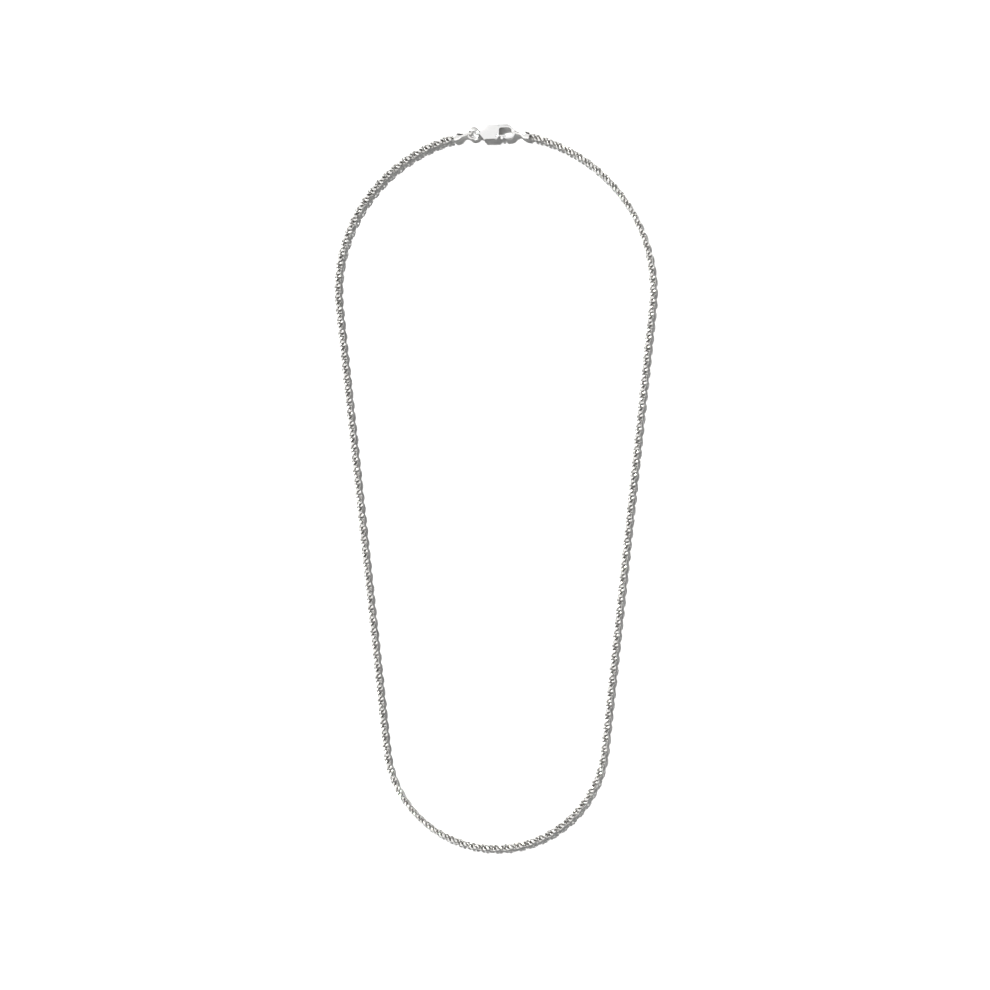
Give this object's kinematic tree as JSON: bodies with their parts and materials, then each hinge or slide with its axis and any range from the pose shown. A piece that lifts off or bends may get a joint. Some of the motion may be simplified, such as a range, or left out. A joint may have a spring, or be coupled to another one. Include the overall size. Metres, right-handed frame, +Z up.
{
  "type": "chain necklace",
  "caption": "Silver rope-chain necklace lying closed, with tapered end caps, a jump ring and a sprung trigger clasp.",
  "frame": {"origin": "middle of the necklace's outline, on the surface that it lies on", "axes": "+Y towards the clasp, +X to the right seen from above, +Z up off the surface"},
  "size_m": [0.094, 0.212, 0.0022],
  "materials": {
    "rope_silver": "diamond-cut sterling silver",
    "polished_silver": "polished sterling silver",
    "spring_steel": "bare spring steel"
  },
  "bodies": {
    "clasp": {"clasp_body": "polished_silver", "clasp_pivot_pin": "polished_silver", "clasp_spring": "spring_steel"},
    "trigger": {"clasp_trigger": "polished_silver"},
    "jump_ring": {"jump_ring": "polished_silver"},
    "left_end": {"left_end_cap": "polished_silver", "chain_01": "rope_silver"},
    "right_end": {"right_end_cap": "polished_silver"},
    "chain_02": {"chain_02": "rope_silver"},
    "chain_03": {"chain_03": "rope_silver"},
    "chain_04": {"chain_04": "rope_silver"},
    "chain_05": {"chain_05": "rope_silver"},
    "chain_06": {"chain_06": "rope_silver"},
    "chain_07": {"chain_07": "rope_silver"},
    "chain_08": {"chain_08": "rope_silver"},
    "chain_09": {"chain_09": "rope_silver"},
    "chain_10": {"chain_10": "rope_silver"},
    "chain_11": {"chain_11": "rope_silver"},
    "chain_12": {"chain_12": "rope_silver"},
    "chain_13": {"chain_13": "rope_silver"},
    "chain_14": {"chain_14": "rope_silver"},
    "chain_15": {"chain_15": "rope_silver"},
    "chain_16": {"chain_16": "rope_silver"},
    "chain_17": {"chain_17": "rope_silver"},
    "chain_18": {"chain_18": "rope_silver"},
    "chain_19": {"chain_19": "rope_silver"},
    "chain_20": {"chain_20": "rope_silver"},
    "chain_21": {"chain_21": "rope_silver"},
    "chain_22": {"chain_22": "rope_silver"},
    "chain_23": {"chain_23": "rope_silver"},
    "chain_24": {"chain_24": "rope_silver"},
    "chain_25": {"chain_25": "rope_silver"},
    "chain_26": {"chain_26": "rope_silver"},
    "chain_27": {"chain_27": "rope_silver"},
    "chain_28": {"chain_28": "rope_silver"},
    "chain_29": {"chain_29": "rope_silver"},
    "chain_30": {"chain_30": "rope_silver"},
    "chain_31": {"chain_31": "rope_silver"},
    "chain_32": {"chain_32": "rope_silver"},
    "chain_33": {"chain_33": "rope_silver"},
    "chain_34": {"chain_34": "rope_silver"},
    "chain_35": {"chain_35": "rope_silver"},
    "chain_36": {"chain_36": "rope_silver"},
    "chain_37": {"chain_37": "rope_silver"},
    "chain_38": {"chain_38": "rope_silver"},
    "chain_39": {"chain_39": "rope_silver"},
    "chain_40": {"chain_40": "rope_silver"},
    "chain_41": {"chain_41": "rope_silver"},
    "chain_42": {"chain_42": "rope_silver"},
    "chain_43": {"chain_43": "rope_silver"},
    "chain_44": {"chain_44": "rope_silver"},
    "chain_45": {"chain_45": "rope_silver"},
    "chain_46": {"chain_46": "rope_silver"},
    "chain_47": {"chain_47": "rope_silver"},
    "chain_48": {"chain_48": "rope_silver"}
  },
  "joints": [
    {"name": "trigger_pivot", "type": "hinge", "parent": "clasp", "child": "trigger", "pos_m": [0.00032, 0.10281, 0.00112], "axis": [0, 0, 1], "range_deg": [0, 28], "stiffness_Nm_per_rad": 0.0001, "springref_deg": -17.19, "deforming": ["clasp_spring"]},
    {"name": "jump_ring_swing", "type": "hinge", "parent": "clasp", "child": "jump_ring", "pos_m": [-0.00484, 0.10367, 0.00112], "axis": [-0.0244, 0.9997, 0], "range_deg": [-30, 30]},
    {"name": "left_cap_slide_round_ring", "type": "hinge", "parent": "jump_ring", "child": "left_end", "pos_m": [-0.00632, 0.10363, 0.00112], "axis": [0, 0, -1], "range_deg": [0, 30]},
    {"name": "right_cap_swing", "type": "hinge", "parent": "clasp", "child": "right_end", "pos_m": [0.00556, 0.10392, 0.00112], "axis": [-0.2173, -0.9761, 0], "range_deg": [-25, 25]},
    {"name": "links_01_02_spread", "type": "hinge", "parent": "left_end", "child": "chain_02", "pos_m": [-0.02198, 0.09844, 0.00103], "axis": [0, 0, -1], "range_deg": [0, 6]},
    {"name": "links_02_03_lift", "type": "hinge", "parent": "chain_02", "child": "chain_03", "pos_m": [-0.03025, 0.09268, 0.00103], "axis": [-0.6577, 0.7533, 0], "range_deg": [-6, 6]},
    {"name": "links_03_04_spread", "type": "hinge", "parent": "chain_03", "child": "chain_04", "pos_m": [-0.03708, 0.08526, 0.00103], "axis": [0, 0, -1], "range_deg": [0, 6]},
    {"name": "links_04_05_lift", "type": "hinge", "parent": "chain_04", "child": "chain_05", "pos_m": [-0.04212, 0.07653, 0.00103], "axis": [-0.9156, 0.4021, 0], "range_deg": [-6, 6]},
    {"name": "links_05_06_spread", "type": "hinge", "parent": "chain_05", "child": "chain_06", "pos_m": [-0.04514, 0.06691, 0.00103], "axis": [0, 0, -1], "range_deg": [0, 6]},
    {"name": "links_06_07_lift", "type": "hinge", "parent": "chain_06", "child": "chain_07", "pos_m": [-0.04599, 0.05686, 0.00103], "axis": [-0.9997, -0.0254, 0], "range_deg": [-6, 6]},
    {"name": "links_07_08_spread", "type": "hinge", "parent": "chain_07", "child": "chain_08", "pos_m": [-0.04506, 0.04681, 0.00103], "axis": [0, 0, -1], "range_deg": [0, 6]},
    {"name": "links_08_09_lift", "type": "hinge", "parent": "chain_08", "child": "chain_09", "pos_m": [-0.04398, 0.03676, 0.00103], "axis": [-0.9943, -0.1069, 0], "range_deg": [-6, 6]},
    {"name": "links_09_10_spread", "type": "hinge", "parent": "chain_09", "child": "chain_10", "pos_m": [-0.0429, 0.02672, 0.00103], "axis": [0, 0, -1], "range_deg": [0, 6]},
    {"name": "links_10_11_lift", "type": "hinge", "parent": "chain_10", "child": "chain_11", "pos_m": [-0.04182, 0.01667, 0.00103], "axis": [-0.9943, -0.1069, 0], "range_deg": [-6, 6]},
    {"name": "links_11_12_spread", "type": "hinge", "parent": "chain_11", "child": "chain_12", "pos_m": [-0.04074, 0.00663, 0.00103], "axis": [0, 0, -1], "range_deg": [0, 6]},
    {"name": "links_12_13_lift", "type": "hinge", "parent": "chain_12", "child": "chain_13", "pos_m": [-0.03966, -0.00342, 0.00103], "axis": [-0.9943, -0.1069, 0], "range_deg": [-6, 6]},
    {"name": "links_13_14_spread", "type": "hinge", "parent": "chain_13", "child": "chain_14", "pos_m": [-0.03858, -0.01346, 0.00103], "axis": [0, 0, -1], "range_deg": [0, 6]},
    {"name": "links_14_15_lift", "type": "hinge", "parent": "chain_14", "child": "chain_15", "pos_m": [-0.0375, -0.02351, 0.00103], "axis": [-0.9943, -0.1069, 0], "range_deg": [-6, 6]},
    {"name": "links_15_16_spread", "type": "hinge", "parent": "chain_15", "child": "chain_16", "pos_m": [-0.03642, -0.03355, 0.00103], "axis": [0, 0, -1], "range_deg": [0, 6]},
    {"name": "links_16_17_lift", "type": "hinge", "parent": "chain_16", "child": "chain_17", "pos_m": [-0.03534, -0.0436, 0.00103], "axis": [-0.9943, -0.1069, 0], "range_deg": [-6, 6]},
    {"name": "links_17_18_spread", "type": "hinge", "parent": "chain_17", "child": "chain_18", "pos_m": [-0.03426, -0.05364, 0.00103], "axis": [0, 0, -1], "range_deg": [0, 6]},
    {"name": "links_18_19_lift", "type": "hinge", "parent": "chain_18", "child": "chain_19", "pos_m": [-0.03318, -0.06368, 0.00103], "axis": [-0.9943, -0.1069, 0], "range_deg": [-6, 6]},
    {"name": "links_19_20_spread", "type": "hinge", "parent": "chain_19", "child": "chain_20", "pos_m": [-0.0321, -0.07373, 0.00103], "axis": [0, 0, -1], "range_deg": [0, 6]},
    {"name": "links_20_21_lift", "type": "hinge", "parent": "chain_20", "child": "chain_21", "pos_m": [-0.03018, -0.08362, 0.00103], "axis": [-0.943, -0.3327, 0], "range_deg": [-6, 6]},
    {"name": "links_21_22_spread", "type": "hinge", "parent": "chain_21", "child": "chain_22", "pos_m": [-0.02538, -0.09246, 0.00103], "axis": [0, 0, -1], "range_deg": [0, 6]},
    {"name": "links_22_23_lift", "type": "hinge", "parent": "chain_22", "child": "chain_23", "pos_m": [-0.01807, -0.09938, 0.00103], "axis": [-0.5648, -0.8252, 0], "range_deg": [-6, 6]},
    {"name": "links_23_24_spread", "type": "hinge", "parent": "chain_23", "child": "chain_24", "pos_m": [-0.00898, -0.10368, 0.00103], "axis": [0, 0, -1], "range_deg": [0, 6]},
    {"name": "links_24_25_lift", "type": "hinge", "parent": "chain_24", "child": "chain_25", "pos_m": [0.001, -0.10495, 0.00103], "axis": [-0.0312, 0.9995, 0], "range_deg": [-6, 6]},
    {"name": "links_25_26_spread", "type": "hinge", "parent": "chain_25", "child": "chain_26", "pos_m": [0.01088, -0.10306, 0.00103], "axis": [0, 0, -1], "range_deg": [0, 6]},
    {"name": "links_26_27_lift", "type": "hinge", "parent": "chain_26", "child": "chain_27", "pos_m": [0.01969, -0.0982, 0.00103], "axis": [-0.6152, 0.7884, 0], "range_deg": [-6, 6]},
    {"name": "links_27_28_spread", "type": "hinge", "parent": "chain_27", "child": "chain_28", "pos_m": [0.02655, -0.09084, 0.00103], "axis": [0, 0, -1], "range_deg": [0, 6]},
    {"name": "links_28_29_lift", "type": "hinge", "parent": "chain_28", "child": "chain_29", "pos_m": [0.03078, -0.08171, 0.00103], "axis": [-0.9619, 0.2733, 0], "range_deg": [-6, 6]},
    {"name": "links_29_30_spread", "type": "hinge", "parent": "chain_29", "child": "chain_30", "pos_m": [0.03232, -0.07174, 0.00103], "axis": [0, 0, -1], "range_deg": [0, 6]},
    {"name": "links_30_31_lift", "type": "hinge", "parent": "chain_30", "child": "chain_31", "pos_m": [0.0334, -0.0617, 0.00103], "axis": [-0.9943, 0.1069, 0], "range_deg": [-6, 6]},
    {"name": "links_31_32_spread", "type": "hinge", "parent": "chain_31", "child": "chain_32", "pos_m": [0.03448, -0.05165, 0.00103], "axis": [0, 0, -1], "range_deg": [0, 6]},
    {"name": "links_32_33_lift", "type": "hinge", "parent": "chain_32", "child": "chain_33", "pos_m": [0.03556, -0.04161, 0.00103], "axis": [-0.9943, 0.1069, 0], "range_deg": [-6, 6]},
    {"name": "links_33_34_spread", "type": "hinge", "parent": "chain_33", "child": "chain_34", "pos_m": [0.03663, -0.03156, 0.00103], "axis": [0, 0, -1], "range_deg": [0, 6]},
    {"name": "links_34_35_lift", "type": "hinge", "parent": "chain_34", "child": "chain_35", "pos_m": [0.03771, -0.02152, 0.00103], "axis": [-0.9943, 0.1069, 0], "range_deg": [-6, 6]},
    {"name": "links_35_36_spread", "type": "hinge", "parent": "chain_35", "child": "chain_36", "pos_m": [0.03879, -0.01148, 0.00103], "axis": [0, 0, -1], "range_deg": [0, 6]},
    {"name": "links_36_37_lift", "type": "hinge", "parent": "chain_36", "child": "chain_37", "pos_m": [0.03987, -0.00143, 0.00103], "axis": [-0.9943, 0.1069, 0], "range_deg": [-6, 6]},
    {"name": "links_37_38_spread", "type": "hinge", "parent": "chain_37", "child": "chain_38", "pos_m": [0.04095, 0.00861, 0.00103], "axis": [0, 0, -1], "range_deg": [0, 6]},
    {"name": "links_38_39_lift", "type": "hinge", "parent": "chain_38", "child": "chain_39", "pos_m": [0.04203, 0.01866, 0.00103], "axis": [-0.9943, 0.1069, 0], "range_deg": [-6, 6]},
    {"name": "links_39_40_spread", "type": "hinge", "parent": "chain_39", "child": "chain_40", "pos_m": [0.04311, 0.0287, 0.00103], "axis": [0, 0, -1], "range_deg": [0, 6]},
    {"name": "links_40_41_lift", "type": "hinge", "parent": "chain_40", "child": "chain_41", "pos_m": [0.04419, 0.03875, 0.00103], "axis": [-0.9943, 0.1069, 0], "range_deg": [-6, 6]},
    {"name": "links_41_42_spread", "type": "hinge", "parent": "chain_41", "child": "chain_42", "pos_m": [0.04527, 0.04879, 0.00103], "axis": [0, 0, -1], "range_deg": [0, 6]},
    {"name": "links_42_43_lift", "type": "hinge", "parent": "chain_42", "child": "chain_43", "pos_m": [0.04599, 0.05886, 0.00103], "axis": [-0.9998, -0.018, 0], "range_deg": [-6, 6]},
    {"name": "links_43_44_spread", "type": "hinge", "parent": "chain_43", "child": "chain_44", "pos_m": [0.04471, 0.06886, 0.00103], "axis": [0, 0, -1], "range_deg": [0, 6]},
    {"name": "links_44_45_lift", "type": "hinge", "parent": "chain_44", "child": "chain_45", "pos_m": [0.04127, 0.07834, 0.00103], "axis": [-0.8973, -0.4415, 0], "range_deg": [-6, 6]},
    {"name": "links_45_46_spread", "type": "hinge", "parent": "chain_45", "child": "chain_46", "pos_m": [0.03586, 0.08684, 0.00103], "axis": [0, 0, -1], "range_deg": [0, 6]},
    {"name": "links_46_47_lift", "type": "hinge", "parent": "chain_46", "child": "chain_47", "pos_m": [0.02872, 0.09396, 0.00103], "axis": [-0.6244, -0.7811, 0], "range_deg": [-6, 6]},
    {"name": "links_47_48_spread", "type": "hinge", "parent": "chain_47", "child": "chain_48", "pos_m": [0.0202, 0.09936, 0.00103], "axis": [0, 0, -1], "range_deg": [0, 6]}
  ]
}
